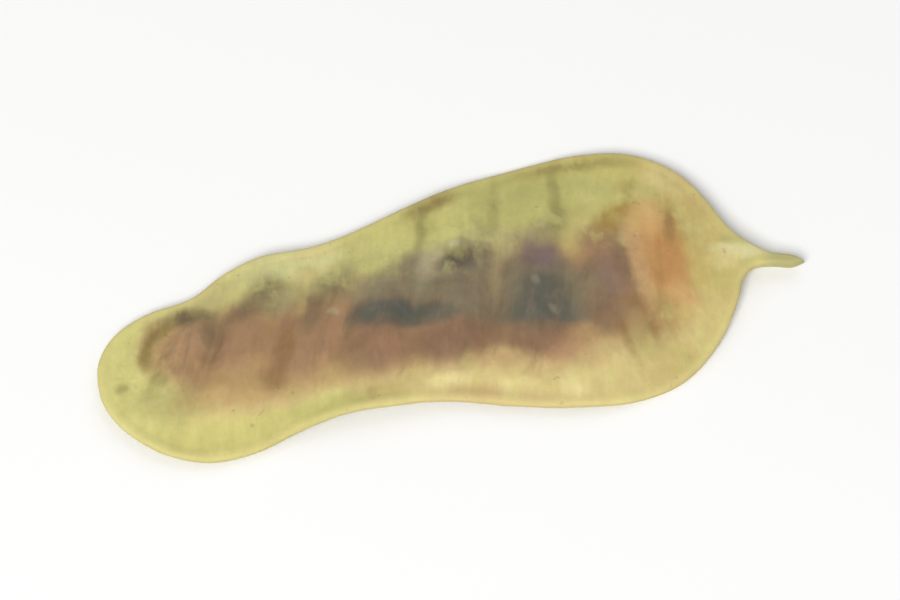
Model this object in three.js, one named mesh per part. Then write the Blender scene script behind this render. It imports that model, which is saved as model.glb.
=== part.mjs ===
// A dried senna pod: one flat, kidney-shaped legume lying on its side, with a corded rim,
// seven seed swellings and the short stalk that it grew on.
// Units are millimetres. +X runs along the pod to the stalk, +Y across it to the arched
// upper edge, and +Z up through its thin direction. The origin is the middle of its base.
import * as THREE from "three";
import { ParametricGeometry } from "three/addons/geometries/ParametricGeometry.js";

// Driving dimensions
const rimThickness = 0.62; // the cord along both edges
const rimWidth = 0.6; // how far in from the edge the cord reaches
const webThickness = 0.5; // the thin wing between the cord and the seeds
const bodyThickness = 1.05; // the walls round the seeds
const seedThickness = 2.3; // over the middle of a seed
const stalkThickness = 1.0;
const seedCount = 7;
const firstSeedX = -20.2; // at the round tip
const seedSpacing = 4.2; // from the first seed to the next
const spacingGrowth = 0.22; // the seeds lie further apart towards the stalk
const seedShare = 0.47; // half a seed's length, as a share of the spacing there
const seedHalfAcross = 4.3; // half a seed's size across the pod
const rowY = -1.15; // the line that the seeds' middles lie on
const rowSlope = -0.025;
const firstLean = 30; // degrees, towards the stalk
const lastLean = 12;

// How the dry pod has warped, from flat
const archHeight = 1.35; // the middle line stands this far above the edges
const archHalfWidth = 10.8;
const bowHeight = 0.9; // and its middle above its ends
const bowHalfLength = 27;
const twistPerMm2 = 0.0009;
const waveHeight = 0.22; // ripple of the edges
const waveLength = 15.5;
const waveSlant = 0.4; // so that the two edges don't ripple together
const waveDepth = 4.5; // how far in from the edge the ripple fades out
const slopeAlong = 0.0047; // of the whole pod, so that it lies on three places
const slopeAcross = -0.007;
const restDepth = 0.16; // how much of each of those places is pressed flat

// Fineness of the mesh
const stepsRound = 168; // round the edge, from the tip to the stalk and back
const stepsAcross = 24; // from the middle line, over the edge, to the middle line below
const edgeSamples = 900;

// The pod in plan, as stations from the round tip to the end of the stalk. Each one holds a
// point of the middle line, of the upper edge and of the lower edge. At the tip they fan out
// from the middle line's end, which stops inside the pod.
const tip = [-26.8, -1.25];
const stalkEnd = [26.9, -2.4];
const stations = [
  [[-22.6, -1.9], tip, tip],
  [[-22.5, -1.9], [-26.5, 0.35], [-26.7, -2.85]],
  [[-22.1, -1.9], [-25.5, 2.0], [-26.1, -4.5]],
  [[-21.3, -1.9], [-23.9, 3.3], [-24.9, -6.2]],
  [[-19.9, -1.9], [-21.7, 4.1], [-23.0, -7.9]],
  [[-17.8, -1.7], [-18.8, 4.5], [-20.1, -9.1]],
  [[-15.2, -1.3], [-15.8, 6.0], [-16.8, -9.1]],
  [[-12.2, -0.8], [-13.0, 6.8], [-13.2, -8.3]],
  [[-8.8, -0.4], [-9.2, 6.9], [-9.8, -7.8]],
  [[-5.2, -0.1], [-5.0, 7.75], [-6.0, -7.85]],
  [[-1.4, 0.2], [-0.8, 8.85], [-1.8, -8.2]],
  [[2.6, 0.2], [3.6, 10.0], [2.6, -9.5]],
  [[6.8, 0.1], [8.2, 10.65], [7.0, -10.6]],
  [[11.0, 0.0], [12.6, 10.6], [11.6, -11.0]],
  [[14.8, 0.1], [16.8, 9.5], [15.8, -10.0]],
  [[17.8, 0.0], [19.5, 7.1], [19.0, -7.6]],
  [[20.0, -0.2], [20.9, 4.3], [21.0, -4.9]],
  [[21.6, -0.7], [21.9, 1.5], [21.9, -3.2]],
  [[22.9, -1.25], [23.0, -0.1], [22.9, -2.4]],
  [[24.3, -1.8], [24.4, -1.25], [24.3, -2.35]],
  [[25.7, -2.15], [26.1, -1.8], [25.9, -2.65]],
  [[26.4, -2.35], stalkEnd, stalkEnd],
];
const [middleLine, upperEdge, lowerEdge] = [0, 1, 2].map(
  (line) =>
    new THREE.CatmullRomCurve3(
      stations.map((station) => new THREE.Vector3(...station[line], 0)),
      false,
      "centripetal",
    ),
);

const edgePoints = [upperEdge, lowerEdge].flatMap((edge) =>
  edge.getPoints(edgeSamples / 2),
);

// 0 below low, 1 above high, and smooth between.
const rise = (value, low, high) => THREE.MathUtils.smoothstep(value, low, high);

function edgeDistance(point) {
  let nearest = Infinity;
  for (const p of edgePoints)
    nearest = Math.min(nearest, (p.x - point.x) ** 2 + (p.y - point.y) ** 2);
  return Math.sqrt(nearest);
}

// 1 over the middle of a seed and 0 outside it. The seeds lean towards the stalk, most of all
// near the tip.
function seedSwell(point) {
  const across = point.y - rowY - rowSlope * point.x;
  let swell = 0;
  for (let i = 0; i < seedCount; i++) {
    const x = firstSeedX + i * seedSpacing + i ** 2 * spacingGrowth;
    const halfAlong = seedShare * (seedSpacing + 2 * i * spacingGrowth);
    const lean = THREE.MathUtils.lerp(firstLean, lastLean, i / (seedCount - 1));
    const along = point.x - x - across * Math.tan(THREE.MathUtils.degToRad(lean));
    const size = Math.hypot(along / halfAlong, across / seedHalfAcross);
    swell = Math.max(swell, 1 - rise(size, 0.3, 1.05));
  }
  return swell;
}

function thickness(point, inFromEdge) {
  const edge = rimThickness / 2;
  const bulge = 1 - Math.min(inFromEdge / edge, 1);
  const cord = rimThickness * Math.sqrt(1 - bulge ** 2);
  const web = THREE.MathUtils.lerp(
    cord,
    webThickness,
    rise(inFromEdge, rimWidth * 0.6, rimWidth * 1.5),
  );
  const walls = (bodyThickness - webThickness) * rise(inFromEdge, 1.6, 4.2);
  const seeds = (seedThickness - bodyThickness) * seedSwell(point);
  const onStalk = rise(point.x, 20.5, 24.0);
  const total = web + walls + seeds * rise(inFromEdge, 1.0, 3.2);
  return THREE.MathUtils.lerp(
    total,
    (cord * stalkThickness) / rimThickness,
    onStalk,
  );
}

// Height of the surface midway through the pod, from the warp alone.
function warp(point, inFromEdge) {
  const lie = slopeAlong * point.x + slopeAcross * point.y;
  const arch = -archHeight * (point.y / archHalfWidth) ** 2;
  const bow = -bowHeight * (point.x / bowHalfLength) ** 2;
  const ripple =
    waveHeight *
    Math.sin((2 * Math.PI * (point.x + waveSlant * point.y)) / waveLength) *
    (1 - rise(inFromEdge, 0, waveDepth));
  return lie + arch + bow + ripple + twistPerMm2 * point.x * point.y;
}

// How far along the way from the edge (0) to the middle line (1) each ring of the mesh lies:
// closest together at the edge, where the cord curves.
const ringShare = (t) => 0.14 * t + 0.86 * t ** 2.2;

// A point of the pod's skin. round goes 0 to 1 from the tip along the upper edge to the stalk
// and back along the lower edge, and over goes 0 to 1 from the middle line on top, round the
// edge, to the middle line below.
function skinPoint(round, over, target) {
  const along = round <= 0.5 ? 2 * round : 2 - 2 * round;
  const edge = (round <= 0.5 ? upperEdge : lowerEdge).getPoint(along);
  const middle = middleLine.getPoint(along);
  const inward = Math.abs(1 - 2 * over);
  target.lerpVectors(edge, middle, ringShare(inward));
  const inFromEdge = inward === 0 ? 0 : edgeDistance(target);
  const side = over <= 0.5 ? 1 : -1;
  const half = (side * thickness(target, inFromEdge)) / 2;
  target.z = warp(target, inFromEdge) + half;
}

function makePod() {
  const geometry = new ParametricGeometry(skinPoint, stepsRound, stepsAcross);
  geometry.computeBoundingBox();
  const { min, max } = geometry.boundingBox;
  const base = min.z + restDepth;
  geometry.translate(-(min.x + max.x) / 2, -(min.y + max.y) / 2, -base);
  const places = geometry.attributes.position;
  for (let i = 0; i < places.count; i++)
    places.setZ(i, Math.max(places.getZ(i), 0));
  const material = new THREE.MeshStandardMaterial({
    name: "dry_pod",
    color: new THREE.Color(0.74, 0.68, 0.42),
    roughness: 0.7,
    metalness: 0,
  });
  const pod = new THREE.Mesh(geometry, material);
  pod.name = "pod";
  return pod;
}

const senna = new THREE.Group();
senna.add(makePod());

export default senna;
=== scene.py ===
import math

import bmesh
import bpy
import numpy as np
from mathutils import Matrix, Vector
from mathutils.kdtree import KDTree


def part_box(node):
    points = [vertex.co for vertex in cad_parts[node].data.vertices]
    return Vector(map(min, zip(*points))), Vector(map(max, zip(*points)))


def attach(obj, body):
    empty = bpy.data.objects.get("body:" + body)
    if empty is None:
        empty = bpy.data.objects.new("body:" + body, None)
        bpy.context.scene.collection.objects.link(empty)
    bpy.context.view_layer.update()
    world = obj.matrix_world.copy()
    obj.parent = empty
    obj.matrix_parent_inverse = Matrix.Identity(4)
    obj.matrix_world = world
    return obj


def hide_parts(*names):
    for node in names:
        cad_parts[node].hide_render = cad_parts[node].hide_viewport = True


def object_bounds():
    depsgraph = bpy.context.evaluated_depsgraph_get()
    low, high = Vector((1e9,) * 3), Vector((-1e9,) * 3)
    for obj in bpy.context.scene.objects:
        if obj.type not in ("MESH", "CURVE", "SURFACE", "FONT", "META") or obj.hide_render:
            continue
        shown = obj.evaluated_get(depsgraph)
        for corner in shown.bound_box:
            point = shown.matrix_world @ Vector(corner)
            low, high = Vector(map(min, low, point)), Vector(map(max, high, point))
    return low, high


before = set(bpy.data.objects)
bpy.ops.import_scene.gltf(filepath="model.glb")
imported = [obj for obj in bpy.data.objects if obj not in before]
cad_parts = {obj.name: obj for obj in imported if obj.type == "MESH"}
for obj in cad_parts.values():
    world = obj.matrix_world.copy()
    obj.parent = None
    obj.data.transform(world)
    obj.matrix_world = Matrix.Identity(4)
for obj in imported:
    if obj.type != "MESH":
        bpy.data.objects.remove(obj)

cadLow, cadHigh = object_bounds()
millimetre = 0.001
print("frame loaded, box", [round(v, 5) for v in cadHigh - cadLow])


# Camera, looking down on the pod

view = {
    "azimuth": -12.7,       # degrees, 0 looks along +Y
    "elevation": 60,
    "lens": 135,
    "sensor": 36,
    "share": 0.80,          # of the picture's width that the pod's length fills
    "nearest": 0.01,        # metres
    "furthest": 20,
}


def linkObject(name, data):
    made = bpy.data.objects.new(name, data)
    bpy.context.scene.collection.objects.link(made)
    return made


def facePod(thing, azimuth, elevation, distance):
    # stands a camera or a lamp off from the middle of the pod, turned towards it
    turn = math.radians(azimuth)
    lift = math.radians(elevation)
    away = Vector((
        math.sin(turn) * math.cos(lift),
        -math.cos(turn) * math.cos(lift),
        math.sin(lift),
    ))
    thing.location = (cadLow + cadHigh) / 2 + away * distance
    thing.rotation_mode = "QUATERNION"
    thing.rotation_quaternion = (-away).to_track_quat("-Z", "Y")


def makeCamera():
    data = bpy.data.cameras.new("camera")
    data.lens = view["lens"]
    data.sensor_width = view["sensor"]
    data.clip_start = view["nearest"]
    data.clip_end = view["furthest"]
    camera = linkObject("camera", data)
    width = (cadHigh.x - cadLow.x) / view["share"]
    distance = width * view["lens"] / view["sensor"]
    facePod(camera, view["azimuth"], view["elevation"], distance)
    bpy.context.scene.camera = camera


makeCamera()
print("camera made")


# Nodes as expressions

class Value:
    # a node's output, to reckon with as with a number: each step adds a node
    def __init__(self, nodes, socket):
        self.nodes = nodes
        self.socket = socket

    def __add__(self, other):
        return self.nodes.maths("ADD", self, other)

    def __sub__(self, other):
        return self.nodes.maths("SUBTRACT", self, other)

    def __rsub__(self, other):
        return self.nodes.maths("SUBTRACT", other, self)

    def __mul__(self, other):
        return self.nodes.maths("MULTIPLY", self, other)

    def __truediv__(self, other):
        return self.nodes.maths("DIVIDE", self, other)

    def __rtruediv__(self, other):
        return self.nodes.maths("DIVIDE", other, self)

    def __pow__(self, other):
        return self.nodes.maths("POWER", self, other)

    def __neg__(self):
        return self.nodes.maths("MULTIPLY", self, -1)

    __radd__ = __add__
    __rmul__ = __mul__


class Nodes:
    # adds nodes to one tree, for shaders and for geometry alike
    def __init__(self, tree):
        self.tree = tree

    def add(self, kind, settings=None, values=None, output=0):
        # any node: its settings first, then a value or a link for each of its sockets
        node = self.tree.nodes.new(kind)
        for name, setting in (settings or {}).items():
            setattr(node, name, setting)
        for name, value in (values or {}).items():
            self.feed(node.inputs[name], value)
        if node.outputs:
            return Value(self, node.outputs[output])

    def feed(self, socket, value):
        if isinstance(value, Value):
            self.tree.links.new(value.socket, socket)
        else:
            socket.default_value = value

    def maths(self, operation, *values):
        return self.add("ShaderNodeMath", {"operation": operation}, dict(enumerate(values)))

    def vector(self, operation, *values):
        output = "Value" if operation in ("LENGTH", "DOT_PRODUCT") else "Vector"
        settings = {"operation": operation}
        return self.add("ShaderNodeVectorMath", settings, dict(enumerate(values)), output)

    def scaled(self, vector, factor):
        settings = {"operation": "SCALE"}
        return self.add("ShaderNodeVectorMath", settings, {0: vector, "Scale": factor})

    def combine(self, x, y, z):
        return self.add("ShaderNodeCombineXYZ", None, {0: x, 1: y, 2: z})

    def parts(self, vector):
        split = self.add("ShaderNodeSeparateXYZ", None, {0: vector})
        return [Value(self, output) for output in split.socket.node.outputs]

    def rise(self, value, low, high):
        # 0 below low, 1 above high, smooth between
        return self.add(
            "ShaderNodeMapRange",
            {"interpolation_type": "SMOOTHSTEP", "clamp": False},
            {"Value": value, "From Min": low, "From Max": high},
        )

    def blend(self, factor, first, second):
        # numbers
        return self.add("ShaderNodeMix", {"data_type": "FLOAT"}, {0: factor, 2: first, 3: second})

    def tint(self, factor, first, second, mode="MIX"):
        # colours
        settings = {"data_type": "RGBA", "blend_type": mode}
        return self.add("ShaderNodeMix", settings, {0: factor, 6: first, 7: second}, 2)

    def noise(self, vector, scale, detail=2.0, roughness=0.5, output=0):
        values = {"Vector": vector, "Scale": scale, "Detail": detail, "Roughness": roughness}
        return self.add("ShaderNodeTexNoise", None, values, output)


def colour(code, alpha=1.0):
    # an sRGB code such as "D2C87C" as linear light
    shares = [int(code[i:i + 2], 16) / 255 for i in (0, 2, 4)]
    linear = [s / 12.92 if s <= 0.04045 else ((s + 0.055) / 1.055) ** 2.4 for s in shares]
    return (*linear, alpha)


# The flat blank of the pod: two faces joined at the edge, in millimetres. The height is 1 on
# the upper face, -1 on the lower one and 0 at the edge, until the relief gives the real one.

blank = {
    "columns": 400,         # along each edge
    "rimRings": 9,
    "wallRings": 49,
    "rimWidth": 0.6,
    "narrowRim": 0.45,      # at most this share of the way in, where the pod is narrow
    "edgeSamples": 6000,
    "leastGap": 0.001,
    "merge": 0.0005,        # points closer than this are one
    "tip": (-26.8, -1.25),
    "stalkEnd": (26.9, -2.4),
}

# From the round tip to the end of the stalk: a point of the middle line, one of the upper edge
# and one of the lower edge.
stations = [
    ((-22.6, -1.9), blank["tip"], blank["tip"]),
    ((-22.5, -1.9), (-26.5, 0.35), (-26.7, -2.85)),
    ((-22.1, -1.9), (-25.5, 2.0), (-26.1, -4.5)),
    ((-21.3, -1.9), (-23.9, 3.3), (-24.9, -6.2)),
    ((-19.9, -1.9), (-21.7, 4.1), (-23.0, -7.9)),
    ((-17.8, -1.7), (-18.8, 4.5), (-20.1, -9.1)),
    ((-15.2, -1.3), (-15.8, 6.0), (-16.8, -9.1)),
    ((-12.2, -0.8), (-13.0, 6.8), (-13.2, -8.3)),
    ((-8.8, -0.4), (-9.2, 6.9), (-9.8, -7.8)),
    ((-5.2, -0.1), (-5.0, 7.75), (-6.0, -7.85)),
    ((-1.4, 0.2), (-0.8, 8.85), (-1.8, -8.2)),
    ((2.6, 0.2), (3.6, 10.0), (2.6, -9.5)),
    ((6.8, 0.1), (8.2, 10.65), (7.0, -10.6)),
    ((11.0, 0.0), (12.6, 10.6), (11.6, -11.0)),
    ((14.8, 0.1), (16.8, 9.5), (15.8, -10.0)),
    ((17.8, 0.0), (19.5, 7.1), (19.0, -7.6)),
    ((20.0, -0.2), (20.9, 4.3), (21.0, -4.9)),
    ((21.6, -0.7), (21.9, 1.5), (21.9, -3.2)),
    ((22.9, -1.25), (23.0, -0.1), (22.9, -2.4)),
    ((24.3, -1.8), (24.4, -1.25), (24.3, -2.35)),
    ((25.7, -2.15), (26.1, -1.8), (25.9, -2.65)),
    ((26.4, -2.35), blank["stalkEnd"], blank["stalkEnd"]),
]


def threadThrough(points, places):
    # a centripetal Catmull-Rom curve through the points, at places counted in points
    points = np.array(points, float)
    held = np.vstack([2 * points[0] - points[1], points, 2 * points[-1] - points[-2]])
    start = np.clip(np.floor(places).astype(int), 0, len(points) - 2)
    t = (places - start)[:, None]
    a, b, c, d = (held[start + i] for i in range(4))
    spans = [b - a, c - b, d - c]
    gaps = [np.sqrt(np.linalg.norm(span, axis=1, keepdims=True)) for span in spans]
    early, own, late = (np.maximum(gap, blank["leastGap"]) for gap in gaps)
    leave = ((b - a) / early - (c - a) / (early + own) + (c - b) / own) * own
    reach = ((c - b) / own - (d - b) / (own + late) + (d - c) / late) * own
    bend = 2 * b - 2 * c + leave + reach
    turn = -3 * b + 3 * c - 2 * leave - reach
    return bend * t ** 3 + turn * t ** 2 + leave * t + b


def stationLines(places):
    return [threadThrough([station[line] for station in stations], places) for line in range(3)]


def evenPlaces(count):
    # places that are evenly spaced along the edges
    fine = np.linspace(0, len(stations) - 1, blank["edgeSamples"] // 2)
    _, upper, lower = stationLines(fine)
    steps = sum(np.linalg.norm(np.diff(edge, axis=0), axis=1) for edge in (upper, lower))
    travelled = np.concatenate([[0], np.cumsum(steps)])
    return np.interp(np.linspace(0, travelled[-1], count + 1), travelled, fine)


def ringDistances(reach):
    # how far in from the edge each ring lies, close together on the cord of the rim
    rimWidth = np.minimum(blank["rimWidth"], blank["narrowRim"] * reach)[:, None]
    quarter = np.linspace(0, math.pi / 2, blank["rimRings"] + 1)
    onRim = rimWidth * (1 - np.cos(quarter))
    share = np.linspace(0, 1, blank["wallRings"] + 1)[1:]
    onWall = rimWidth + (reach[:, None] - rimWidth) * share
    return np.hstack([onRim, onWall])


def distancesTo(line, places):
    tree = KDTree(len(line))
    for number, point in enumerate(line):
        tree.insert((*point, 0), number)
    tree.balance()
    found = [tree.find((*place, 0)) for place in places]
    return np.array([f[2] for f in found]), np.array([f[1] for f in found])


def storeNumbers(mesh, name, values):
    stored = mesh.attributes.new(name, "FLOAT", "POINT")
    stored.data.foreach_set("value", values.astype(np.float32))


def pointsOf(mesh):
    points = np.empty(len(mesh.vertices) * 3)
    mesh.vertices.foreach_get("co", points)
    return points.reshape(-1, 3)


def makeBlank():
    places = evenPlaces(blank["columns"])
    middle, upper, lower = stationLines(places)
    sheet = bmesh.new()
    for edge in (upper, lower):
        inward = middle - edge
        reach = np.linalg.norm(inward, axis=1)
        share = ringDistances(reach) / reach[:, None]
        flat = edge[:, None, :] + inward[:, None, :] * share[:, :, None]
        columns, rings = share.shape
        for face in (1, -1):
            rows = [
                [sheet.verts.new((*flat[i, j], face if j else 0)) for j in range(rings)]
                for i in range(columns)
            ]
            for row, later in zip(rows, rows[1:]):
                for j in range(rings - 1):
                    sheet.faces.new((row[j], later[j], later[j + 1], row[j + 1]))
    bmesh.ops.remove_doubles(sheet, verts=sheet.verts, dist=blank["merge"])
    bmesh.ops.recalc_face_normals(sheet, faces=sheet.faces)
    mesh = bpy.data.meshes.new("podBlank")
    sheet.to_mesh(mesh)
    sheet.free()

    # what the relief needs to know at each point: how far in from the edge it lies, and the
    # way inwards from the nearest place on the edge
    flat = pointsOf(mesh)[:, :2]
    _, fineUpper, fineLower = stationLines(evenPlaces(blank["edgeSamples"] // 2))
    rimDistance, _ = distancesTo(np.vstack([fineUpper, fineLower]), flat)
    storeNumbers(mesh, "rimDistance", rimDistance)
    _, nearest = distancesTo(np.vstack([upper, lower]), flat)
    inward = (np.vstack([middle, middle]) - np.vstack([upper, lower]))[nearest]
    storeNumbers(mesh, "inwardX", inward[:, 0])
    storeNumbers(mesh, "inwardY", inward[:, 1])
    return mesh


# Relief of the pod, all in millimetres and degrees

relief = {
    "Rim thickness": 0.62,
    "Rim width": 0.6,
    "Groove depth": 0.012,
    "Wing thickness": 0.5,
    "Wall thickness": 1.05,
    "Seed thickness": 2.3,
    "Stalk thickness": 1.0,
    "Stalk from": 20.5,
    "Stalk to": 24.0,
    "Walls from": 1.6,
    "Walls to": 4.2,
    "Seeds from": 1.0,
    "Seeds to": 3.2,
    "First seed": -20.2,
    "Seed spacing": 4.2,
    "Spacing growth": 0.22,
    "Seed share": 0.47,
    "Seed half width": 4.3,
    "Row height": -1.15,
    "Row slope": -0.025,
    "First lean": 30,
    "Last lean": 12,
    "Septum depth": 0.1,
    "Vein spacing": 1.9,
    "Vein width": 0.24,
    "Vein height": 0.03,
    "Vein lean": 14,
    "Pucker height": 0.12,
    "Wrinkle height": 0.045,
    "Sag": 0.16,
    "Arch height": 1.35,
    "Arch half width": 10.8,
    "Bow height": 0.9,
    "Bow half length": 27,
    "Twist": 0.0009,
    "Slope along": 0.0047,
    "Slope across": -0.007,
    "Wave height": 0.22,
    "Wave length": 15.5,
    "Wave slant": 0.4,
    "Wave depth": 4.5,
    "Random seed": 4,
}
lastSeed = 6            # counted from 0 at the tip
pressedFlat = 0.1       # of the lowest places, where the pod rests, in millimetres


def named(nodes, name):
    return nodes.add("GeometryNodeInputNamedAttribute", {"data_type": "FLOAT"}, {"Name": name})


def store(nodes, geometry, name, value, kind="FLOAT"):
    settings = {"data_type": kind, "domain": "POINT"}
    values = {"Geometry": geometry, "Name": name, "Value": value}
    return nodes.add("GeometryNodeStoreNamedAttribute", settings, values)


def curveThrough(nodes, start, middle, end):
    values = {"Resolution": 10, "Start": (*start, 0), "Middle": (*middle, 0), "End": (*end, 0)}
    return nodes.add("GeometryNodeCurveQuadraticBezier", None, values)


def joined(nodes, geometries):
    join = nodes.add("GeometryNodeJoinGeometry")
    for geometry in geometries:
        nodes.feed(join.socket.node.inputs["Geometry"], geometry)
    return join


def veinNetwork(nodes, blankMesh, size, face):
    # forked veins that start at the rim all round and run in towards the seeds
    position = nodes.add("GeometryNodeInputPosition")
    onEdge = nodes.maths("COMPARE", nodes.parts(position)[2], 0.0, 0.2)
    edge = nodes.add("GeometryNodeMeshToCurve", None, {"Mesh": blankMesh, "Selection": onEdge})
    values = {"Curve": edge, "Length": size["Vein spacing"]}
    starts = nodes.add("GeometryNodeCurveToPoints", {"mode": "LENGTH"}, values)
    fork = joined(nodes, [
        curveThrough(nodes, (0.0, 0.0), (0.25, 0.03), (0.42, 0.0)),
        curveThrough(nodes, (0.42, 0.0), (0.7, -0.03), (1.0, 0.12)),
        curveThrough(nodes, (0.3, 0.0), (0.55, -0.03), (0.8, -0.13)),
    ])
    across = named(nodes, "inwardX")
    along = named(nodes, "inwardY")
    reach = nodes.maths("SQRT", across * across + along * along)

    def random(low, high, number):
        seed = size["Random seed"] + (number + 50 * (face + 1))
        values = {2: low, 3: high, "Seed": seed}
        return nodes.add("FunctionNodeRandomValue", {"data_type": "FLOAT"}, values, 1)

    heading = nodes.maths("ARCTAN2", along, across)
    lean = size["Vein lean"] * nodes.maths("SIGN", along) + random(-9.0, 9.0, 1)
    turn = heading + lean * math.radians(1)
    length = reach * random(0.45, 0.95, 2)
    flip = nodes.maths("SIGN", random(-1.0, 1.0, 3))
    veins = nodes.add("GeometryNodeInstanceOnPoints", None, {
        "Points": starts,
        "Instance": fork,
        "Rotation": nodes.combine(0.0, 0.0, turn),
        "Scale": nodes.combine(length, length * flip * random(0.7, 1.3, 4), 1.0),
    })
    veins = nodes.add("GeometryNodeRealizeInstances", None, {"Geometry": veins})
    veins = nodes.add("GeometryNodeCurveToMesh", None, {"Curve": veins})
    where = nodes.add("GeometryNodeInputPosition")
    stray = nodes.noise(nodes.vector("ADD", where, (7.0 * face, 3.0, 0.0)), 0.35, 3.0, 0.55, 1)
    stray = nodes.scaled(nodes.vector("SUBTRACT", stray, (0.5, 0.5, 0.5)), 0.9)
    return nodes.add("GeometryNodeSetPosition", None, {"Geometry": veins, "Offset": stray})


def distanceTo(nodes, network, flat):
    values = {"Target": network, "Source Position": flat}
    return nodes.add("GeometryNodeProximity", {"target_element": "EDGES"}, values, 1)


def flattened(nodes, geometry):
    x, y, _ = nodes.parts(nodes.add("GeometryNodeInputPosition"))
    values = {"Geometry": geometry, "Position": nodes.combine(x, y, 0.0)}
    return nodes.add("GeometryNodeSetPosition", None, values)


def reliefTree(material):
    tree = bpy.data.node_groups.new("podRelief", "GeometryNodeTree")
    tree.interface.new_socket("Geometry", in_out="INPUT", socket_type="NodeSocketGeometry")
    for name, size in relief.items():
        socket = tree.interface.new_socket(name, in_out="INPUT", socket_type="NodeSocketFloat")
        socket.default_value = size
    tree.interface.new_socket("Geometry", in_out="OUTPUT", socket_type="NodeSocketGeometry")
    nodes = Nodes(tree)
    given = nodes.add("NodeGroupInput").socket.node.outputs
    size = {name: Value(nodes, given[name]) for name in relief}
    flatMesh = Value(nodes, given["Geometry"])
    rise = nodes.rise

    x, y, face = nodes.parts(nodes.add("GeometryNodeInputPosition"))
    flat = nodes.combine(x, y, 0.0)
    inFromEdge = named(nodes, "rimDistance")

    # the row of seeds: "count" runs from 0 at the first seed to lastSeed at the last one
    def countAt(place):
        # the seeds lie further apart towards the stalk
        growth = size["Spacing growth"]
        root = size["Seed spacing"] ** 2.0 + (place - size["First seed"]) * growth * 4.0
        return (nodes.maths("SQRT", root) - size["Seed spacing"]) / (growth * 2.0)

    across = y - size["Row height"] - x * size["Row slope"]
    lean = size["First lean"] + (size["Last lean"] - size["First lean"]) * countAt(x) / lastSeed
    shifted = x - across * nodes.maths("TANGENT", lean * math.radians(1))
    count = countAt(shifted)
    held = nodes.maths("MINIMUM", nodes.maths("MAXIMUM", count, 0.0), float(lastSeed))
    nearest = nodes.maths("ROUND", held)
    offset = count - nearest
    wobble = nodes.noise(nodes.combine(x, y, face * 20.0), 0.45, 2.0)
    onSeed = nodes.vector("LENGTH", nodes.combine(
        offset / size["Seed share"],
        across / size["Seed half width"],
        0.0,
    )) + (wobble - 0.5) * 0.5
    inside = rise(inFromEdge, size["Seeds from"], size["Seeds to"])
    swell = (1.0 - rise(onSeed, 0.25, 1.08)) * inside

    # how thick the pod is
    halfRim = size["Rim thickness"] / 2.0
    bulge = 1.0 - nodes.maths("MINIMUM", inFromEdge / halfRim, 1.0)
    cord = size["Rim thickness"] * nodes.maths("SQRT", 1.0 - bulge * bulge)
    onWing = rise(inFromEdge, size["Rim width"] * 0.6, size["Rim width"] * 1.5)
    wing = nodes.blend(onWing, cord, size["Wing thickness"])
    onWalls = rise(inFromEdge, size["Walls from"], size["Walls to"])
    walls = (size["Wall thickness"] - size["Wing thickness"]) * onWalls
    seeds = (size["Seed thickness"] - size["Wall thickness"]) * swell
    onStalk = rise(x, size["Stalk from"], size["Stalk to"])
    stalk = cord * size["Stalk thickness"] / size["Rim thickness"]
    thickness = nodes.blend(onStalk, wing + walls + seeds, stalk)

    # what lies on each face
    offRim = rise(inFromEdge, 0.35, 1.1) * (1.0 - onStalk)
    groove = nodes.maths("EXPONENT", -(((inFromEdge - 0.95) / 0.16) ** 2.0)) * (1.0 - onStalk)
    fromLower, fromUpper = [
        distanceTo(nodes, flattened(nodes, veinNetwork(nodes, flatMesh, size, side)), flat)
        for side in (-1, 1)
    ]
    fromVein = nodes.blend(rise(face, -0.5, 0.5), fromLower, fromUpper)
    vein = (1.0 - rise(fromVein, 0.0, size["Vein width"])) * offRim
    offMiddle = nodes.maths("ABSOLUTE", offset)
    offRow = nodes.maths("ABSOLUTE", across + 0.4) / size["Seed half width"]
    betweenSeeds = rise(offMiddle, 0.36, 0.5) * (1.0 - rise(offMiddle, 0.5, 0.64))
    septum = betweenSeeds * (1.0 - rise(offRow, 0.7, 1.25)) * inside
    streaks = nodes.combine(shifted, y * 0.22, face * 9.0)
    pucker = (nodes.noise(streaks, 0.9, 3.0, 0.55) - 0.5) * rise(inFromEdge, 1.2, 4.0)
    wrinkle = (nodes.noise(streaks, 2.6, 4.0, 0.6) - 0.5) * offRim
    onFace = (
        vein * size["Vein height"]
        - septum * size["Septum depth"]
        + pucker * size["Pucker height"] * (0.6 + swell)
        + wrinkle * size["Wrinkle height"] * 2.0
        - groove * size["Groove depth"]
    )
    height = face * (thickness / 2.0 + onFace)

    # how the dry pod has warped
    arch = -size["Arch height"] * (y / size["Arch half width"]) ** 2.0
    bow = -size["Bow height"] * (x / size["Bow half length"]) ** 2.0
    phase = (x + y * size["Wave slant"]) * (2 * math.pi) / size["Wave length"]
    nearEdge = 1.0 - rise(inFromEdge, 0.0, size["Wave depth"])
    wave = size["Wave height"] * nodes.maths("SINE", phase) * nearEdge
    sag = (nodes.noise(flat, 0.16, 2.0) - 0.5) * size["Sag"] * 2.0
    lie = x * size["Slope along"] + y * size["Slope across"]
    warp = lie + arch + bow + wave + sag + size["Twist"] * x * y

    geometry = store(nodes, flatMesh, "swell", swell)
    geometry = store(nodes, geometry, "flat", nodes.combine(x, y, height), "FLOAT_VECTOR")
    place = nodes.scaled(nodes.combine(x, y, height + warp), millimetre)
    values = {"Geometry": geometry, "Position": place}
    geometry = nodes.add("GeometryNodeSetPosition", None, values)
    geometry = nodes.add("GeometryNodeRealizeInstances", None, {"Geometry": geometry})
    values = {"Geometry": geometry, "Material": material}
    geometry = nodes.add("GeometryNodeSetMaterial", None, values)
    nodes.add("NodeGroupOutput", None, {"Geometry": geometry})
    return tree


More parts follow.
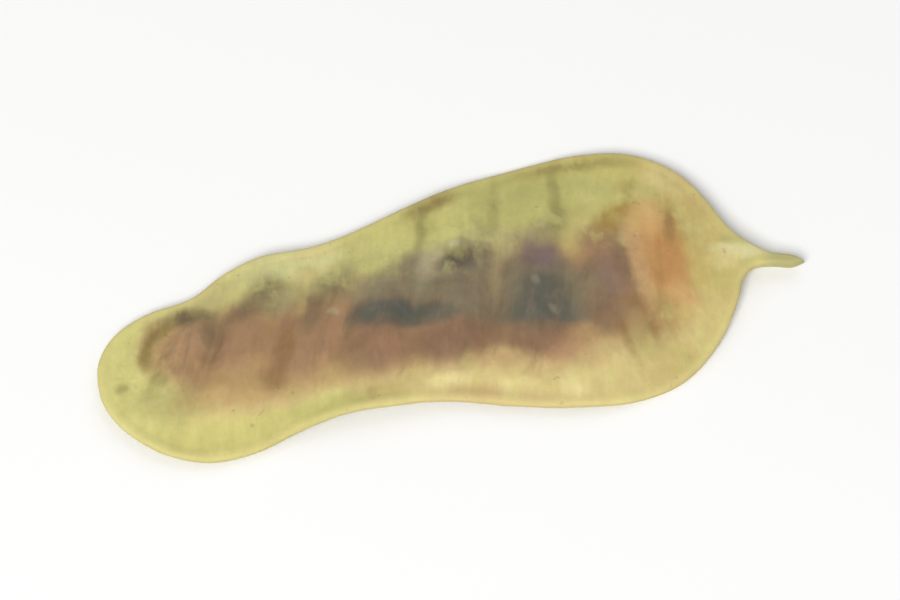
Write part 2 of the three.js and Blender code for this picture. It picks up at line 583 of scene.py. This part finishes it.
def makePod(material):
    shaper = linkObject("podShaper", makeBlank())
    modifier = shaper.modifiers.new("relief", "NODES")
    modifier.node_group = reliefTree(material)
    for item in modifier.node_group.interface.items_tree:
        if item.in_out == "INPUT" and item.name in relief:
            modifier[item.identifier] = float(relief[item.name])
    shaped = shaper.evaluated_get(bpy.context.evaluated_depsgraph_get())
    mesh = bpy.data.meshes.new_from_object(shaped)
    shaper.modifiers.clear()
    bpy.data.objects.remove(shaper)

    # lies in the frame's box, on its lowest places
    points = pointsOf(mesh)
    low = points.min(axis=0)
    high = points.max(axis=0)
    boxLow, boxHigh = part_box("pod")
    shift = (np.array(boxLow) + np.array(boxHigh) - low - high) / 2
    shift[2] = boxLow.z - low[2] - pressedFlat * millimetre
    points += shift
    points[:, 2] = np.maximum(points[:, 2], boxLow.z)
    mesh.vertices.foreach_set("co", points.ravel())
    mesh.polygons.foreach_set("use_smooth", np.ones(len(mesh.polygons), bool))
    mesh.update()
    mesh.name = "podHusk"
    pod = linkObject("podHusk", mesh)
    print("pod made,", sum(len(p.vertices) - 2 for p in mesh.polygons), "triangles")
    return pod


# The husk: dry, papery and semi-matte, stained by the seeds under it, with some highlights and
# shade painted into its colour

palette = {
    "straw": "CBC47C",
    "lemon": "D4CE82",
    "pearl": "D9D698",
    "gold": "CCC074",
    "cream": "DECD8C",
    "ivory": "E6D696",
    "peach": "D2BE80",
    "olive": "BAB46B",
    "flax": "B8AB76",
    "moss": "8C8350",
    "bronze": "A38645",
    "sepia": "8C7742",
    "khaki": "C2AD6B",
    "drab": "978B63",
    "fawn": "9C8152",
    "amber": "C0A660",
    "ochre": "AC9C58",
    "biscuit": "BE9F69",
    "caramel": "B4935A",
    "sand": "CBB27A",
    "oat": "B8AA8C",
    "tan": "B18F62",
    "rose": "B28868",
    "brown": "967556",
    "bark": "866640",
    "russet": "806148",
    "umber": "6C5C43",
    "ink": "5A5043",
    "smoke": "7A6F58",
    "mist": "8C8565",
    "slate": "57564B",
    "mauve": "7C6568",
    "plum": "8A6E64",
    "orange": "BB8851",
    "apricot": "D2A96E",
    "salmon": "C59C70",
    "chalk": "C9C8A4",
    "reed": "B0AA72",
    "bone": "DCD49C",
}

# Name: place, half sizes, turn in degrees, bend, colour, strength, softness. The marks are
# painted in this order, all in millimetres on the flat pod.
marks = {
    "both": {
        # the margins: their own yellow and tan, with painted shade darkening the arched margin
        # and painted light brightening the hollow one
        "arched margin": ((7.0, 8.0), (10.8, 3.7), 2, 0, "olive", 0.85, 0.35),
        "tip margin": ((-24.8, 0.9), (1.6, 3.6), -32, 0, "lemon", 0.6, 0.5),
        "hollow margin, tip end": ((-17.1, -7.4), (6.0, 1.9), 0, 0, "gold", 0.7, 0.5),
        "hollow margin": ((5.4, -8.3), (11.0, 2.3), -8, 0, "peach", 0.9, 0.4),
        "stalk end": ((18.7, 0.2), (3.4, 7.5), 0, 0, "khaki", 0.8, 0.4),
        # the warm ground that the seeds' marks lie on
        "ground, tip end": ((-15.6, -1.45), (6.8, 4.1), -8, 0, "tan", 0.92, 0.3),
        "ground, middle": ((-5.4, -1.8), (10.6, 4.1), 0, 0, "tan", 0.92, 0.2),
        "ground, stalk end": ((7.0, -2.2), (8.0, 5.4), -2, 0, "tan", 0.92, 0.2),
        "ground, first seed": ((-20.8, 0.4), (2.7, 2.8), 0, 0, "tan", 0.8, 0.3),
        "veil": ((-4.6, 2.7), (11.0, 1.5), 0, 0, "drab", 0.55, 0.7),
        "veil, stalk end": ((3.6, 3.3), (5.0, 1.5), 0, 0, "drab", 0.75, 0.6),
        "foot, tip end": ((-12.8, -5.1), (7.0, 1.15), 2, 0, "sand", 0.85, 0.6),
        "foot, dark": ((-14.3, -4.8), (7.2, 0.8), -1, 0, "biscuit", 0.85, 0.6),
        "foot, middle": ((-1.9, -5.6), (6.5, 1.0), -2, 0, "sand", 0.8, 0.5),
        "foot, stalk end": ((14.6, -6.5), (3.2, 3.2), 0, 0, "sand", 0.7, 0.5),
        "foot, dark middle": ((-3.6, -4.9), (1.5, 0.6), 0, 0, "biscuit", 0.8, 0.6),
        # the seeds
        "seed 1": ((-18.9, -1.1), (1.6, 3.4), -26, 0, "brown", 0.6, 0.5),
        "seed 2": ((-16.1, -0.1), (2.0, 3.0), -30, 0, "brown", 0.85, 0.4),
        "seed 3": ((-11.6, -1.4), (2.4, 3.6), -28, 0, "brown", 0.9, 0.4),
        "seed 4": ((-6.4, -1.5), (3.2, 3.6), -22, 0, "brown", 0.9, 0.4),
        "seed 5": ((0.0, -1.7), (3.6, 4.0), -18, 0, "brown", 0.95, 0.35),
        "seed 6": ((6.3, -2.0), (3.6, 4.4), -14, 0, "brown", 0.95, 0.3),
        "seed 7": ((11.4, -2.3), (2.6, 4.0), -10, 0, "brown", 0.9, 0.35),
    },
    "top": {
        # margins, with painted highlights, and painted shade in the creases, the rim groove and
        # the hollow
        # painted highlights: the pale shoulder of the arched margin and the bright band along its
        # rim
        "arched margin, pale": ((-10.9, 5.5), (4.2, 1.5), 4, 0, "pearl", 0.75, 0.5),
        "arched rim highlight": ((-8.4, 6.2), (2.6, 0.65), 4, 0, "cream", 0.7, 0.6),
        # facets between the creases, painted lighter or darker as painted light and shade on the
        # folds
        "pale facet 4": ((-3.5, 6.3), (1.1, 1.4), -8, 0, "lemon", 0.5, 0.6),
        "olive facet 3": ((-6.0, 6.2), (0.9, 1.4), -8, 0, "olive", 0.5, 0.7),
        "arched facet 0": ((2.5, 7.6), (1.3, 1.0), 0, 0, "straw", 0.5, 0.6),
        "shoulder 1": ((-17.2, 4.1), (1.9, 0.9), 24, 0, "flax", 0.75, 0.6),
        "shoulder 2": ((-10.0, 4.0), (1.3, 0.8), 10, 0, "peach", 0.6, 0.7),
        # more facets between the creases, painted lighter as painted light
        "arched facet 1": ((1.2, 6.1), (0.9, 1.7), -10, 0, "lemon", 0.5, 0.6),
        "arched facet 2": ((7.1, 7.5), (1.5, 1.6), -12, 0, "straw", 0.25, 0.6),
        "arched facet 3": ((12.5, 6.8), (1.7, 1.5), -12, 0, "straw", 0.5, 0.6),
        "amber margin": ((16.2, 6.4), (1.7, 3.2), -10, 0, "amber", 0.6, 0.7),
        "arched facet 4": ((16.3, 5.4), (1.0, 1.5), -12, 0, "straw", 0.55, 0.7),
        "rim shade": ((11.8, 9.8), (4.2, 0.85), -5, 0.3, "ochre", 0.8, 0.6),
        # painted shade in the groove inside the rim
        "rim groove shade": ((11.2, 9.6), (3.1, 0.32), -8, 0.2, "moss", 0.5, 0.9),
        "rim shade 2": ((0.4, 8.5), (2.0, 0.85), 17, 0, "sepia", 0.88, 0.6),
        # painted highlights on the hollow margin
        "highlight spot 1": ((-1.7, -6.8), (1.6, 0.5), -4, 0, "ivory", 0.8, 0.8),
        "highlight spot 2": ((3.1, -8.3), (1.4, 0.7), -14, 0, "ivory", 0.6, 0.8),
        "highlight spot 3": ((7.3, -9.1), (0.85, 0.9), 0, 0, "ivory", 0.8, 0.8),
        # painted shade: dark creases across the arched margin
        "arched line 1": ((-0.7, 6.5), (0.4, 2.8), -14, 0, "moss", 0.75, 0.9),
        "arched line 2": ((5.0, 6.6), (0.38, 2.9), -14, 0, "moss", 0.45, 0.9),
        "arched line 3": ((9.7, 6.6), (0.4, 3.2), -9, 0, "moss", 0.6, 0.9),
        "arched line 4": ((15.2, 5.9), (0.42, 2.6), -22, 0, "ochre", 0.7, 0.8),
        "tip dot": ((-25.1, -2.2), (0.5, 0.5), 0, 0, "moss", 0.6, 0.7),
        "hollow dot": ((-7.3, -6.7), (0.45, 0.5), 0, 0, "moss", 0.45, 0.5),
        "hollow shade": ((-6.8, -6.8), (2.6, 0.6), 0, 0, "tan", 0.55, 0.7),
        "hollow shade, tip end": ((-10.8, -7.1), (3.2, 0.6), 2, 0, "olive", 0.75, 0.7),
        "hollow shade, middle": ((2.4, -8.9), (4.4, 0.75), -15, 0, "sand", 0.85, 0.7),
        # painted shade by the lower rim
        "hollow fold shade": ((0.3, -7.9), (1.5, 0.5), -14, 0, "tan", 0.4, 0.8),
        "hollow shade, stalk end": ((15.4, -8.7), (2.4, 1.1), 28, 0, "khaki", 0.6, 0.7),
        # seed 1
        "rose 1": ((-19.9, 0.3), (1.5, 1.3), 20, 0, "rose", 0.6, 0.7),
        "cap 1": ((-19.3, 2.8), (1.6, 0.75), -10, 0.22, "umber", 0.97, 0.7),
        "left arc 1": ((-22.9, 0.4), (1.6, 0.5), 76, 0.3, "sepia", 0.9, 0.7),
        "left arc 1, top": ((-21.5, 2.0), (1.3, 0.45), 38, 0.1, "sepia", 0.8, 0.7),
        "smear 1": ((-22.3, -2.3), (0.8, 0.5), -10, 0, "moss", 0.5, 0.6),
        "smear 2": ((-22.4, -4.0), (2.1, 1.1), -34, 0, "moss", 0.52, 0.8),
        # seed 2
        "edge 2": ((-18.0, 0.6), (0.75, 1.2), -12, 0, "umber", 0.63, 0.7),
        "edge 2, foot": ((-18.2, -1.3), (0.7, 0.4), -10, 0, "umber", 0.3, 0.8),
        "low shade 2": ((-16.6, -3.9), (2.8, 1.1), -6, 0, "fawn", 0.4, 0.8),
        "crest 2": ((-14.4, 2.3), (2.3, 0.95), 28, 0.15, "umber", 0.5, 0.7),
        "crest 2, tip": ((-13.1, 3.6), (1.3, 1.1), 38, 0, "umber", 0.75, 0.8),
        "crest 2, foot": ((-12.5, 2.3), (1.4, 1.2), 20, 0, "drab", 0.7, 0.7),
        "haze 2": ((-13.9, 5.1), (1.9, 1.1), 16, 0, "flax", 0.4, 0.8),
        # seed 3
        "gap 3": ((-11.0, 1.1), (0.5, 1.1), -28, 0, "khaki", 0.35, 0.7),
        "slant 3": ((-12.9, -2.4), (0.62, 2.4), -28, 0, "bark", 0.68, 0.6),
        "slant 3, foot": ((-14.1, -4.1), (0.85, 0.9), -20, 0, "bark", 0.62, 0.8),
        "low shade 3": ((-9.2, -4.2), (1.8, 0.9), 0, 0, "fawn", 0.35, 0.8),
        "crest 3": ((-10.3, 0.3), (0.75, 1.6), -30, 0, "umber", 0.6, 0.6),
        "crest 3, tip": ((-8.1, 2.5), (1.45, 1.0), 16, 0, "umber", 0.66, 0.8),
        "haze 3": ((-7.0, 4.1), (1.0, 0.9), 0, 0, "drab", 0.35, 0.8),
        # seeds 4 to 6, smoky above and russet below
        "smoke 4": ((-3.9, 0.1), (3.2, 2.2), 22, 0, "smoke", 0.85, 0.45),
        "smoke 5": ((1.5, 0.0), (3.2, 3.5), -14, 0, "smoke", 0.88, 0.4),
        "smoke 6": ((6.6, -1.1), (3.0, 3.6), -12, 0, "smoke", 0.9, 0.3),
        "smoke 7": ((10.3, -2.6), (1.8, 2.6), 0, 0, "smoke", 0.75, 0.4),
        "dip 4": ((-5.0, 3.8), (1.1, 0.9), 30, 0, "straw", 0.6, 0.7),
        "mist 4": ((-5.6, 1.7), (1.8, 0.9), 16, 0, "mist", 0.65, 0.7),
        "mist 4, right": ((-1.8, 1.3), (0.8, 1.0), 0, 0, "mist", 0.6, 0.7),
        "crest 4": ((-2.3, 3.0), (1.3, 0.9), 40, 0, "smoke", 0.8, 0.7),
        "pale gap 5": ((-0.8, 2.9), (0.9, 1.3), -24, 0, "oat", 0.55, 0.7),
        "dip 6": ((4.9, 3.2), (0.9, 1.2), -20, 0, "flax", 0.5, 0.7),
        "pale gap 6": ((3.7, 0.7), (0.5, 2.0), -6, 0, "khaki", 0.18, 0.7),
        "rose streak 4": ((-9.3, -1.8), (0.5, 2.2), -28, 0, "rose", 0.5, 0.7),
        # a painted highlight on the seed
        "pale spot 4": ((-8.8, 0.3), (0.4, 0.25), 0, 0, "chalk", 0.25, 0.7),
        "slate 4": ((-5.0, -0.9), (3.0, 1.15), -4, 0, "slate", 0.95, 0.4),
        "slate 4, tail": ((-2.3, -1.6), (2.8, 0.95), -10, 0, "slate", 0.82, 0.5),
        "russet 4": ((-6.2, -3.3), (2.6, 1.6), 0, 0, "russet", 0.82, 0.6),
        "rose 4": ((-5.1, -3.6), (1.3, 1.2), 0, 0, "rose", 0.3, 0.6),
        "russet 5": ((-0.5, -3.95), (3.8, 1.4), 0, 0, "russet", 0.93, 0.5),
        "smoke 5, top": ((1.6, 2.3), (2.1, 1.2), 0, 0, "smoke", 0.85, 0.35),
        "eye 5": ((1.5, 2.7), (0.9, 0.8), -6, 0, "ink", 0.9, 0.7),
        "brow 5": ((3.0, 3.0), (1.4, 0.6), -10, 0, "umber", 0.45, 0.8),
        "haze 5": ((3.3, 4.6), (1.0, 1.3), -10, 0, "drab", 0.55, 0.8),
        "pale spot 5": ((1.3, 4.1), (0.45, 0.3), 0, 0, "chalk", 0.5, 0.7),
        "slate 6": ((6.8, -2.1), (2.0, 2.0), -10, 0, "slate", 0.95, 0.5),
        "link 6": ((3.7, -2.7), (1.9, 1.0), -6, 0, "umber", 0.6, 0.7),
        "mauve 6": ((7.4, 1.8), (1.1, 1.5), 0, 0, "mauve", 0.75, 0.6),
        "crest 6": ((8.1, 3.7), (0.85, 1.3), -12, 0, "drab", 0.8, 0.7),
        "haze 6": ((9.4, 4.5), (0.9, 1.6), -14, 0, "moss", 0.6, 0.8),
        "haze 7": ((11.2, 4.0), (1.0, 1.6), -10, 0, "fawn", 0.28, 0.8),
        "gap 7": ((9.9, 2.6), (0.7, 1.1), -10, 0, "khaki", 0.6, 0.7),
        "russet 6": ((4.9, -4.9), (2.4, 0.8), -10, 0, "russet", 0.75, 0.6),
        "foot 6": ((6.3, -4.1), (1.8, 0.8), -8, 0, "umber", 0.7, 0.7),
        "slate foot 6": ((6.5, -3.2), (2.9, 1.15), -8, 0, "slate", 0.94, 0.6),
        "smoke 6, right": ((9.2, -2.0), (0.9, 1.5), 0, 0, "mist", 0.3, 0.8),
        "foot shade 6": ((6.2, -5.2), (2.0, 1.1), -10, 0, "russet", 0.6, 0.7),
        "tan foot 6": ((9.4, -5.3), (1.3, 0.8), 0, 0, "tan", 0.5, 0.7),
        "blush 6": ((7.2, -6.8), (2.0, 1.3), 0, 0, "rose", 0.35, 0.7),
        "pale foot 5": ((5.0, -7.1), (1.3, 0.6), -14, 0, "sand", 0.6, 0.7),
        "tan foot 5": ((1.8, -5.9), (1.6, 0.6), -8, 0, "tan", 0.5, 0.7),
        # painted highlights: small pale glints on the seed
        "speck 6": ((6.4, -0.7), (0.22, 0.34), 0, 0, "chalk", 0.17, 0.95),
        "low speck 6": ((7.2, -3.2), (0.24, 0.26), 0, 0, "chalk", 0.16, 0.95),
        # seed 7
        "plum 7": ((12.1, -1.6), (1.1, 2.2), 0, 0, "plum", 0.6, 0.7),
        "russet 7": ((13.1, -0.4), (0.6, 2.6), 0, 0, "russet", 0.6, 0.6),
        "low shade 7": ((13.0, -5.8), (2.4, 1.6), -30, 0, "fawn", 0.65, 0.7),
        "low plum 7": ((11.0, -3.9), (1.2, 1.6), 14, 0, "russet", 0.7, 0.7),
        "dusk 7": ((12.1, -2.0), (2.0, 3.2), 0, 0, "umber", 0.2, 0.6),
        "dusk 8": ((14.0, -4.6), (1.2, 1.4), 0, 0, "brown", 0.7, 0.8),
        "crown 7": ((12.5, 2.4), (1.9, 1.1), 8, 0, "brown", 0.85, 0.5),
        "slant 7": ((13.8, 3.8), (1.9, 1.1), 28, 0, "bronze", 0.97, 0.6),
        "pale foot 7": ((10.4, -7.1), (1.6, 0.9), 0, 0, "sand", 0.6, 0.7),
        "hook 7": ((12.0, -6.0), (0.4, 1.7), 12, 0, "bark", 0.6, 0.7),
        "last hook": ((14.1, -4.9), (0.55, 1.8), 6, 0, "bark", 0.85, 0.7),
        "last hook, head": ((13.5, -3.7), (1.4, 0.5), -16, 0, "bark", 0.75, 0.7),
        # the stalk end
        # painted highlight along the neck and at its foot
        "neck": ((22.4, -0.9), (2.2, 0.65), -15, 0, "bone", 1, 0.6),
        "neck highlight, foot": ((20.7, -1.3), (1.2, 0.9), 0, 0, "cream", 0.75, 0.7),
        "neck shade": ((22.5, 0.0), (1.5, 0.5), -24, 0, "reed", 0.6, 0.8),
        "stalk margin, pale": ((18.4, -5.9), (2.4, 1.6), 40, 0, "peach", 0.5, 0.6),
        # painted highlight where the rim curves over at the shoulder
        "shoulder 8": ((18.2, 6.5), (2.0, 1.1), -50, 0, "cream", 0.75, 0.7),
        "peach margin 8": ((19.3, 5.2), (1.0, 2.0), 14, 0, "biscuit", 0.45, 0.8),
        # a facet painted lighter as painted light
        "pale facet 8": ((14.7, 8.0), (1.8, 0.8), -18, 0, "gold", 0.7, 0.7),
        "orange": ((16.3, -0.4), (1.95, 4.2), 0, 0, "orange", 0.95, 0.45),
        "bronze margin": ((18.0, 2.9), (1.0, 2.4), -8, 0, "bronze", 0.3, 0.8),
        "apricot": ((16.0, 3.1), (1.3, 1.5), 0, 0, "apricot", 0.7, 0.6),
        "apricot foot": ((16.9, -4.0), (1.1, 1.5), 20, 0, "apricot", 0.7, 0.6),
        "amber foot": ((15.6, -4.9), (1.4, 1.5), 0, 0, "caramel", 0.85, 0.7),
        "fawn foot": ((14.9, -4.9), (1.6, 1.0), 0, 0, "fawn", 0.4, 0.8),
        "salmon edge": ((14.4, -0.3), (0.7, 3.4), 0, 0, "salmon", 0.85, 0.6),
        "blush 8": ((15.0, 0.6), (0.9, 2.4), 0, 0, "apricot", 0.35, 0.8),
        "amber edge": ((19.0, -1.1), (0.9, 1.7), 0, 0, "amber", 0.4, 0.8),
        "dash": ((17.5, 2.2), (0.42, 1.4), -12, 0, "bark", 0.6, 0.7),
    },
    "under": {
        "arched margin, pale": ((9.0, 7.6), (5.0, 1.6), 2, 0, "straw", 0.5, 0.6),
        "rim shade": ((-4.0, 7.4), (3.0, 0.5), 10, 0, "moss", 0.4, 0.6),
        "arched line 1": ((2.6, 6.9), (0.4, 2.5), -12, 0, "moss", 0.5, 0.6),
        "arched line 2": ((7.4, 7.4), (0.4, 2.6), -10, 0, "moss", 0.4, 0.6),
        "arched line 3": ((12.2, 6.8), (0.4, 2.2), -8, 0, "moss", 0.5, 0.6),
        "cream spot": ((-4.4, -6.9), (2.2, 0.7), 0, 0, "cream", 0.7, 0.6),
        "tip dot": ((-24.6, -0.4), (0.5, 0.5), 0, 0, "moss", 0.5, 0.7),
        "cap 1": ((-20.2, 2.4), (1.6, 0.6), -14, 0.2, "umber", 0.7, 0.7),
        "rose 1": ((-20.0, -0.6), (1.4, 1.5), 20, 0, "rose", 0.5, 0.7),
        "smoke 2": ((-16.2, 0.6), (1.4, 1.8), -30, 0, "umber", 0.5, 0.7),
        "smoke 3": ((-11.4, 0.0), (1.7, 2.3), -28, 0, "smoke", 0.75, 0.5),
        "slate 3": ((-11.0, -0.2), (0.9, 1.1), -24, 0, "slate", 0.75, 0.7),
        "smoke 4": ((-5.8, 0.2), (2.5, 2.7), -22, 0, "smoke", 0.8, 0.45),
        "russet 4": ((-6.2, -3.2), (2.4, 1.3), 0, 0, "russet", 0.75, 0.6),
        "smoke 5": ((0.4, 0.0), (2.9, 3.1), -18, 0, "smoke", 0.85, 0.4),
        "slate 5": ((0.2, -0.8), (1.9, 1.4), -16, 0, "slate", 0.9, 0.5),
        "russet 5": ((0.4, -3.9), (3.2, 1.2), 0, 0, "russet", 0.8, 0.6),
        "smoke 6": ((6.4, -0.8), (2.8, 3.3), -14, 0, "smoke", 0.85, 0.4),
        "mauve 6": ((6.9, 1.5), (1.1, 1.2), 0, 0, "mauve", 0.6, 0.6),
        "russet 6": ((6.2, -4.6), (2.4, 1.0), -8, 0, "russet", 0.8, 0.6),
        "smoke 7": ((11.4, -1.6), (2.2, 3.1), -10, 0, "smoke", 0.8, 0.45),
        "slate 7": ((11.6, -1.7), (1.3, 1.6), -10, 0, "slate", 0.85, 0.6),
        "crest 3": ((-9.9, 2.6), (1.1, 1.2), -30, 0, "umber", 0.6, 0.8),
        "crest 4": ((-4.2, 3.4), (1.0, 1.2), -24, 0, "smoke", 0.7, 0.8),
        "crest 5": ((2.2, 3.9), (1.1, 1.3), -18, 0, "brown", 0.7, 0.8),
        "crest 7": ((12.2, 2.6), (1.2, 1.2), -10, 0, "brown", 0.7, 0.8),
        "gap 5": ((-3.0, 0.4), (0.5, 2.2), -22, 0, "sand", 0.4, 0.7),
        "gap 6": ((3.6, 0.2), (0.5, 2.4), -14, 0, "khaki", 0.4, 0.7),
        "gap 7": ((9.0, -0.4), (0.5, 2.2), -12, 0, "khaki", 0.3, 0.7),
        "hook 7": ((12.6, -5.8), (0.4, 1.8), 8, 0, "sepia", 0.6, 0.7),
        "orange": ((16.0, -0.2), (1.6, 3.2), 0, 0, "orange", 0.75, 0.5),
        "neck": ((22.2, -1.0), (1.9, 0.7), -14, 0, "bone", 0.8, 0.6),
    },
}

husk = {
    "roughness": 0.62,
    "shine": 0.28,
    "stray": 0.45,          # of the marks' edges, in millimetres
    "fibreStray": 0.2,
    "mottle": 0.5,          # shares of the colour laid over the paint
    "patch": 0.35,
    "darkStreak": 0.4,
    "roseStreak": 0.14,
    "freckle": 0.3,
    # the share of cream laid on the rim's cord as a painted highlight
    "cord": 0.3,
    "seam": 0.2,
    "stalk": 0.85,
    "fibre": 0.08,          # how much the fibres darken and lighten the paint
    "blotch": 0.16,
    "grainHeight": 0.012,
    "fibreHeight": 0.014,
}


def attribute(nodes, name, output="Fac"):
    return nodes.add("ShaderNodeAttribute", {"attribute_name": name}, None, output)


def markShape(nodes, place, middle, halves, turn, bend, soft):
    # 1 inside a turned ellipse, or a bent one; place holds x, y and 1
    angle = math.radians(turn)
    axes = ((math.cos(angle), math.sin(angle)), (-math.sin(angle), math.cos(angle)))
    along, across = [
        nodes.vector("DOT_PRODUCT", place, (
            axis[0] / half,
            axis[1] / half,
            -(axis[0] * middle[0] + axis[1] * middle[1]) / half,
        ))
        for axis, half in zip(axes, halves)
    ]
    if bend:
        across = across + along * along * bend
    size = nodes.vector("LENGTH", nodes.combine(along, across, 0.0))
    return 1.0 - nodes.rise(size, 1 - soft, 1 + soft)


def makeHusk():
    material = bpy.data.materials.new("dryHusk")
    material.use_nodes = True
    tree = material.node_tree
    tree.nodes.clear()
    nodes = Nodes(tree)
    rise = nodes.rise
    x, y, height = nodes.parts(attribute(nodes, "flat", "Vector"))
    rim = attribute(nodes, "rimDistance")
    swell = attribute(nodes, "swell")
    above = rise(height, -0.15, 0.15)

    # fibres run across the pod, and lean as the seeds do
    deep = nodes.maths("MINIMUM", nodes.maths("MAXIMUM", height, -0.25), 0.25) * 6.0
    leaning = x - y * 0.3
    solid = nodes.combine(x, y, deep)
    fibreSpace = nodes.combine(leaning * 2.2, y * 0.4, deep)
    fibres = nodes.noise(fibreSpace, 1.0, 3.0, 0.55)
    stray = nodes.noise(solid, 0.55, 5.0, 0.6, 1)
    strayX, strayY, _ = nodes.parts(stray)
    spotX = x + (strayX - 0.5) * husk["stray"] * 2.0
    spotY = y + (strayY - 0.5) * husk["stray"] * 2.0 + (fibres - 0.5) * husk["fibreStray"] * 2.0
    spot = nodes.combine(spotX, spotY, 1.0)

    def over(paint, share, name):
        # lays a share of a colour over the paint
        return nodes.tint(share, paint, colour(palette[name]))

    # the ground colour, mottled
    mottle = nodes.noise(solid, 0.22, 3.0, 0.55)
    paint = over(colour(palette["straw"]), rise(mottle, 0.38, 0.66), "lemon")
    mottle = nodes.noise(nodes.combine(x + 31.0, y, deep), 0.5, 4.0, 0.6)
    paint = over(paint, rise(mottle, 0.5, 0.75) * husk["mottle"], "khaki")

    # the marks; "stained" is 1 where the seeds stain the husk, and "plain" is 0 where it is
    # orange, so that the patches of the margins keep off both
    stained = 0.0
    plain = 1.0
    sides = {"both": None, "top": above, "under": 1.0 - above}
    for side, share in sides.items():
        for title, (middle, halves, turn, bend, name, strength, soft) in marks[side].items():
            shape = markShape(nodes, spot, middle, halves, turn, bend, soft) * strength
            shape = shape if share is None else shape * share
            if title.startswith("ground"):
                stained = nodes.maths("MAXIMUM", shape, stained)
            if title.startswith("orange"):
                plain = plain * (1.0 - shape)
            paint = over(paint, shape, name)

    # patches of the margins, streaks where it is stained, and freckles
    patches = nodes.noise(nodes.combine(x * 0.5, y * 0.35, deep), 1.0, 3.0, 0.55)
    margin = (1.0 - stained) * plain
    paint = over(paint, rise(patches, 0.5, 0.68) * margin * husk["patch"], "olive")
    paint = over(paint, rise(patches, 0.48, 0.32) * margin * husk["patch"], "lemon")
    streaks = nodes.noise(nodes.combine((x - y * 0.45) * 0.8, y * 0.3, deep), 1.0, 4.0, 0.6)
    paint = over(paint, rise(streaks, 0.52, 0.72) * stained * husk["darkStreak"], "umber")
    paint = over(paint, rise(streaks, 0.48, 0.3) * stained * husk["roseStreak"], "rose")
    freckles = nodes.noise(solid, 1.6, 2.0, 0.5)
    paint = over(paint, rise(freckles, 0.68, 0.78) * husk["freckle"], "umber")

    # light and dark fibres and blotches, then a painted highlight on the rim's cord, the seam,
    # and the stalk
    blotches = nodes.noise(solid, 0.9, 5.0, 0.65)
    light = 1.0 + (fibres - 0.5) * husk["fibre"] * 2.0 + (blotches - 0.5) * husk["blotch"] * 2.0
    paint = nodes.tint(1.0, paint, nodes.combine(light, light, light), "MULTIPLY")
    # painted highlight: cream laid along the rim's cord
    cord = 1.0 - rise(rim, 0.25, 0.8)
    paint = over(paint, cord * husk["cord"], "cream")
    seam = 1.0 - rise(rim, 0.0, 0.06)
    paint = over(paint, seam * husk["seam"], "fawn")
    stalk = rise(x, 23.2, 25.0)
    paint = over(paint, stalk * husk["stalk"], "reed")

    # surface
    grain = nodes.noise(solid, 7.0, 3.0, 0.6)
    fineFibres = nodes.noise(nodes.combine(leaning * 6.5, y * 0.8, deep), 1.0, 3.0, 0.6)
    surface = grain * husk["grainHeight"] + fineFibres * husk["fibreHeight"]
    values = {"Strength": 1.0, "Distance": millimetre, "Height": surface}
    bump = nodes.add("ShaderNodeBump", None, values)
    rough = husk["roughness"] + (grain - 0.5) * 0.16 - swell * 0.04
    shader = nodes.add("ShaderNodeBsdfPrincipled", None, {
        "Base Color": paint,
        "Roughness": rough,
        "Specular IOR Level": husk["shine"],
        "Normal": bump,
    })
    nodes.add("ShaderNodeOutputMaterial", None, {"Surface": shader})
    return material


# Floor and light

studio = {
    "floorSize": 6.0,
    "floorGap": 0.00003,        # under the pod, so that the two don't flicker
    "floorColour": "FAFAF9",
    "floorLift": 0.035,         # only the camera sees it, for a white background
    "farLift": 0.6,             # more of it where the lamps don't reach
    "farFrom": 0.02,
    "farTo": 0.6,
    "worldStrength": 0.36,
    "backdrop": 0.97,           # the world as the camera sees it
    "lamps": {
        # name: azimuth, elevation, distance, size, watts
        "key": (-30, 48, 0.7, 0.3, 3.6),
        "fill": (150, 50, 0.8, 0.7, 1.0),
    },
}


def seenRays(nodes):
    # 1 for the rays that show the background, from the camera or by way of gloss or glass
    seen = 0.0
    for ray in ("Is Camera Ray", "Is Glossy Ray", "Is Transmission Ray"):
        seen = nodes.maths("MAXIMUM", nodes.add("ShaderNodeLightPath", output=ray), seen)
    return seen


def makeStudio():
    scene = bpy.context.scene
    scene.view_settings.view_transform = "Standard"
    half = studio["floorSize"] / 2
    z = cadLow.z - studio["floorGap"]
    corners = [(-half, -half, z), (half, -half, z), (half, half, z), (-half, half, z)]
    mesh = bpy.data.meshes.new("floor")
    mesh.from_pydata(corners, [], [(0, 1, 2, 3)])
    floor = linkObject("floor", mesh)
    paper = bpy.data.materials.new("floorPaper")
    paper.use_nodes = True
    nodes = Nodes(paper.node_tree)
    paper.node_tree.nodes.clear()
    place = nodes.add("ShaderNodeTexCoord", output="Object")
    away = nodes.rise(nodes.vector("LENGTH", place), studio["farFrom"], studio["farTo"])
    lift = seenRays(nodes) * (studio["floorLift"] + away * studio["farLift"])
    shader = nodes.add("ShaderNodeBsdfPrincipled", None, {
        "Base Color": colour(studio["floorColour"]),
        "Roughness": 1.0,
        "Specular IOR Level": 0.0,
        "Emission Color": nodes.combine(lift, lift, lift),
        "Emission Strength": 1.0,
    })
    nodes.add("ShaderNodeOutputMaterial", None, {"Surface": shader})
    mesh.materials.append(paper)

    world = bpy.data.worlds.new("studio")
    world.use_nodes = True
    scene.world = world
    nodes = Nodes(world.node_tree)
    world.node_tree.nodes.clear()
    strength = nodes.blend(seenRays(nodes), studio["worldStrength"], studio["backdrop"])
    light = nodes.add("ShaderNodeBackground", None, {"Color": (1, 1, 1, 1), "Strength": strength})
    nodes.add("ShaderNodeOutputWorld", None, {"Surface": light})

    for name, (azimuth, elevation, distance, size, watts) in studio["lamps"].items():
        data = bpy.data.lights.new(name, "AREA")
        data.size = size
        data.energy = watts
        facePod(linkObject(name, data), azimuth, elevation, distance)


dryHusk = makeHusk()
print("husk painted,", sum(len(side) for side in marks.values()), "marks")
pod = makePod(dryHusk)
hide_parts("pod")
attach(pod, "root")
makeStudio()
print("studio made")
